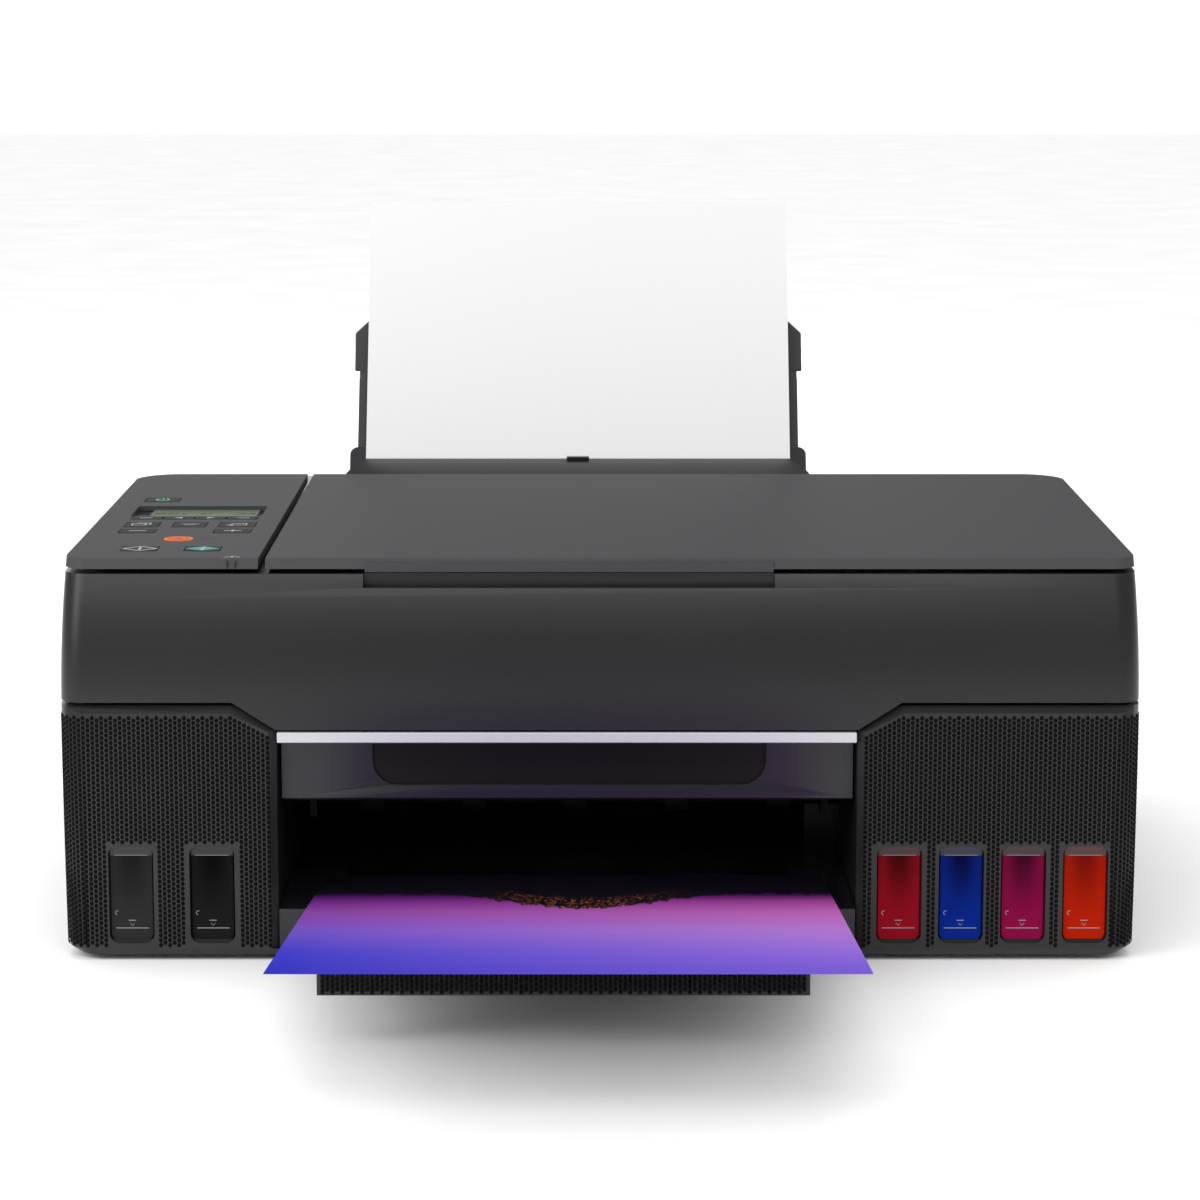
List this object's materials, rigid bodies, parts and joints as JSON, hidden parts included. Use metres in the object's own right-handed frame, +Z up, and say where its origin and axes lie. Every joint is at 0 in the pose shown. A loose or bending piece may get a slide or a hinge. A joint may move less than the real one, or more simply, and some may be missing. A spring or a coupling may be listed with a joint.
{
  "type": "inkjet printer",
  "caption": "Desk-top inkjet printer with a flatbed scanner and lid, a tilted control panel with keys, a rear paper feed, a sliding output tray and windowed ink tanks beside the bay.",
  "frame": {"origin": "on the table, at the centre of the four feet", "axes": "+X to the printer's right seen from its front, +Y to the rear, +Z up"},
  "size_m": [0.447, 0.6341, 0.2924],
  "materials": {
    "charcoal_case": "satin moulded plastic",
    "lid_plastic": "fine matte grain",
    "panel_plastic": "fine matte grain",
    "black_plastic": "smooth",
    "rubber_black": "matte",
    "steel_plain": "plain",
    "board_green": "coated board",
    "silver_paint": "silver paint",
    "glass_clear": "clear",
    "screen_green": "display window",
    "paper_white": "paper",
    "paper_print": "printed photo paper",
    "foam_white": "foam with a white film",
    "key_black": "satin",
    "key_orange": "satin",
    "key_teal": "satin",
    "ink_grey": "tinted clear plastic",
    "ink_black": "tinted clear plastic",
    "ink_red": "tinted clear plastic",
    "ink_blue": "tinted clear plastic",
    "ink_magenta": "tinted clear plastic",
    "ink_orange": "tinted clear plastic"
  },
  "bodies": {
    "root": {"base_pan": "black_plastic", "left_tank_housing": "charcoal_case", "right_tank_housing": "charcoal_case", "rear_housing": "charcoal_case", "rubber_feet": "rubber_black", "case_screws": "steel_plain", "mainboard": "board_green", "power_supply": "black_plastic", "print_frame": "steel_plain", "guide_rail": "steel_plain", "motors": "steel_plain", "purge_unit": "black_plastic", "ink_tank_grey": "ink_grey", "ink_tank_black": "ink_black", "ink_tank_red": "ink_red", "ink_tank_blue": "ink_blue", "ink_tank_magenta": "ink_magenta", "ink_tank_orange": "ink_orange", "tank_caps": "rubber_black", "tank_covers": "black_plastic", "carriage_belt": "rubber_black", "hopper_plate": "black_plastic"},
    "scanner": {"scanner_case": "charcoal_case", "scanner_tub": "black_plastic", "scanner_hinges": "steel_plain", "silver_trim": "silver_paint", "platen_glass": "glass_clear", "control_panel": "panel_plastic", "display": "screen_green"},
    "lid_lift": {"lid_hinges": "black_plastic"},
    "lid": {"lid_cover": "lid_plastic", "lid_pad": "foam_white"},
    "scan_head": {"scan_head": "black_plastic"},
    "carriage": {"carriage": "black_plastic", "print_heads": "black_plastic"},
    "drive_pulley": {"drive_pulley": "steel_plain"},
    "idler_pulley": {"idler_pulley": "steel_plain"},
    "feed_roller": {"feed_roller": "rubber_black"},
    "exit_roller": {"exit_roller": "rubber_black"},
    "output_tray": {"output_tray": "charcoal_case"},
    "printed_sheet": {"printed_sheet": "paper_print"},
    "loaded_paper": {"loaded_paper": "paper_white"},
    "paper_support": {"paper_support": "charcoal_case"},
    "support_extension": {"support_extension": "charcoal_case"},
    "feed_cover": {"feed_cover": "charcoal_case"},
    "paper_guide_left": {"paper_guide_left": "black_plastic"},
    "paper_guide_right": {"paper_guide_right": "black_plastic"},
    "power_key": {"power_key": "key_black"},
    "soft_key_1": {"soft_key_1": "key_black"},
    "soft_key_2": {"soft_key_2": "key_black"},
    "soft_key_3": {"soft_key_3": "key_black"},
    "soft_key_4": {"soft_key_4": "key_black"},
    "home_key": {"home_key": "key_black"},
    "direction_pad": {"direction_pad": "key_black"},
    "back_key": {"back_key": "key_black"},
    "minus_key": {"minus_key": "key_black"},
    "plus_key": {"plus_key": "key_black"},
    "stop_key": {"stop_key": "key_orange"},
    "mono_key": {"mono_key": "key_black"},
    "colour_key": {"colour_key": "key_teal"}
  },
  "joints": [
    {"name": "scanner_open", "type": "hinge", "parent": "root", "child": "scanner", "pos_m": [0, 0.108, 0.1555], "axis": [-1, 0, 0], "range_deg": [0, 30]},
    {"name": "lid_raise", "type": "slide", "parent": "scanner", "child": "lid_lift", "axis": [0, 0, 1], "range_m": [0, 0.01]},
    {"name": "lid_open", "type": "hinge", "parent": "lid_lift", "child": "lid", "pos_m": [0, 0.107, 0.164], "axis": [-1, 0, 0], "range_deg": [0, 68]},
    {"name": "scan_head_travel", "type": "slide", "parent": "scanner", "child": "scan_head", "axis": [1, 0, 0], "range_m": [0, 0.278]},
    {"name": "carriage_travel", "type": "slide", "parent": "root", "child": "carriage", "axis": [1, 0, 0], "range_m": [-0.285, 0]},
    {"name": "drive_pulley_spin", "type": "hinge", "parent": "root", "child": "drive_pulley", "pos_m": [-0.198, 0.06, 0.088], "axis": [0, 1, 0], "continuous": true},
    {"name": "idler_pulley_spin", "type": "hinge", "parent": "root", "child": "idler_pulley", "pos_m": [0.198, 0.06, 0.088], "axis": [0, 1, 0], "continuous": true},
    {"name": "feed_roller_spin", "type": "hinge", "parent": "root", "child": "feed_roller", "pos_m": [0, 0.07809, 0.04943], "axis": [1, 0, 0], "continuous": true},
    {"name": "exit_roller_spin", "type": "hinge", "parent": "root", "child": "exit_roller", "pos_m": [0, -0.062, 0.047], "axis": [1, 0, 0], "continuous": true},
    {"name": "output_tray_slide", "type": "slide", "parent": "root", "child": "output_tray", "axis": [0, -0.9912, 0.1323], "range_m": [-0.124, 0]},
    {"name": "printed_sheet_slide", "type": "slide", "parent": "root", "child": "printed_sheet", "axis": [0, -0.9912, 0.1323], "range_m": [0, 0.15]},
    {"name": "loaded_paper_slide", "type": "slide", "parent": "root", "child": "loaded_paper", "axis": [0, 0.454, 0.891], "range_m": [0, 0.2]},
    {"name": "paper_support_raise", "type": "slide", "parent": "root", "child": "paper_support", "axis": [0, 0.454, 0.891], "range_m": [-0.06, 0]},
    {"name": "support_extension_raise", "type": "slide", "parent": "paper_support", "child": "support_extension", "axis": [0, 0.454, 0.891], "range_m": [-0.03, 0]},
    {"name": "feed_cover_turn", "type": "hinge", "parent": "root", "child": "feed_cover", "pos_m": [0, 0.1214, 0.1633], "axis": [1, 0, 0], "range_deg": [0, 60]},
    {"name": "paper_guide_left_slide", "type": "slide", "parent": "root", "child": "paper_guide_left", "axis": [-1, 0, 0], "range_m": [0, 0.003]},
    {"name": "paper_guide_right_slide", "type": "slide", "parent": "root", "child": "paper_guide_right", "axis": [-1, 0, 0], "range_m": [-0.003, 0]},
    {"name": "power_key_press", "type": "slide", "parent": "scanner", "child": "power_key", "axis": [0, 0, -1], "range_m": [0, 0.0008], "stiffness_N_per_m": 600},
    {"name": "soft_key_1_press", "type": "slide", "parent": "scanner", "child": "soft_key_1", "axis": [0, 0, -1], "range_m": [0, 0.0008], "stiffness_N_per_m": 600},
    {"name": "soft_key_2_press", "type": "slide", "parent": "scanner", "child": "soft_key_2", "axis": [0, 0, -1], "range_m": [0, 0.0008], "stiffness_N_per_m": 600},
    {"name": "soft_key_3_press", "type": "slide", "parent": "scanner", "child": "soft_key_3", "axis": [0, 0, -1], "range_m": [0, 0.0008], "stiffness_N_per_m": 600},
    {"name": "soft_key_4_press", "type": "slide", "parent": "scanner", "child": "soft_key_4", "axis": [0, 0, -1], "range_m": [0, 0.0008], "stiffness_N_per_m": 600},
    {"name": "home_key_press", "type": "slide", "parent": "scanner", "child": "home_key", "axis": [0, 0, -1], "range_m": [0, 0.0008], "stiffness_N_per_m": 600},
    {"name": "direction_pad_press", "type": "slide", "parent": "scanner", "child": "direction_pad", "axis": [0, 0, -1], "range_m": [0, 0.0008], "stiffness_N_per_m": 600},
    {"name": "back_key_press", "type": "slide", "parent": "scanner", "child": "back_key", "axis": [0, 0, -1], "range_m": [0, 0.0008], "stiffness_N_per_m": 600},
    {"name": "minus_key_press", "type": "slide", "parent": "scanner", "child": "minus_key", "axis": [0, 0, -1], "range_m": [0, 0.0008], "stiffness_N_per_m": 600},
    {"name": "plus_key_press", "type": "slide", "parent": "scanner", "child": "plus_key", "axis": [0, 0, -1], "range_m": [0, 0.0008], "stiffness_N_per_m": 600},
    {"name": "stop_key_press", "type": "slide", "parent": "scanner", "child": "stop_key", "axis": [0, 0, -1], "range_m": [0, 0.0008], "stiffness_N_per_m": 600},
    {"name": "mono_key_press", "type": "slide", "parent": "scanner", "child": "mono_key", "axis": [0, 0, -1], "range_m": [0, 0.0008], "stiffness_N_per_m": 600},
    {"name": "colour_key_press", "type": "slide", "parent": "scanner", "child": "colour_key", "axis": [0, 0, -1], "range_m": [0, 0.0008], "stiffness_N_per_m": 600}
  ],
  "couplings": [
    {"joint": "drive_pulley_spin", "follows": "carriage_travel", "rad_per_m": 115.61},
    {"joint": "idler_pulley_spin", "follows": "carriage_travel", "rad_per_m": 115.61},
    {"joint": "exit_roller_spin", "follows": "feed_roller_spin", "ratio": -1},
    {"joint": "paper_guide_right_slide", "follows": "paper_guide_left_slide", "ratio": -1}
  ]
}
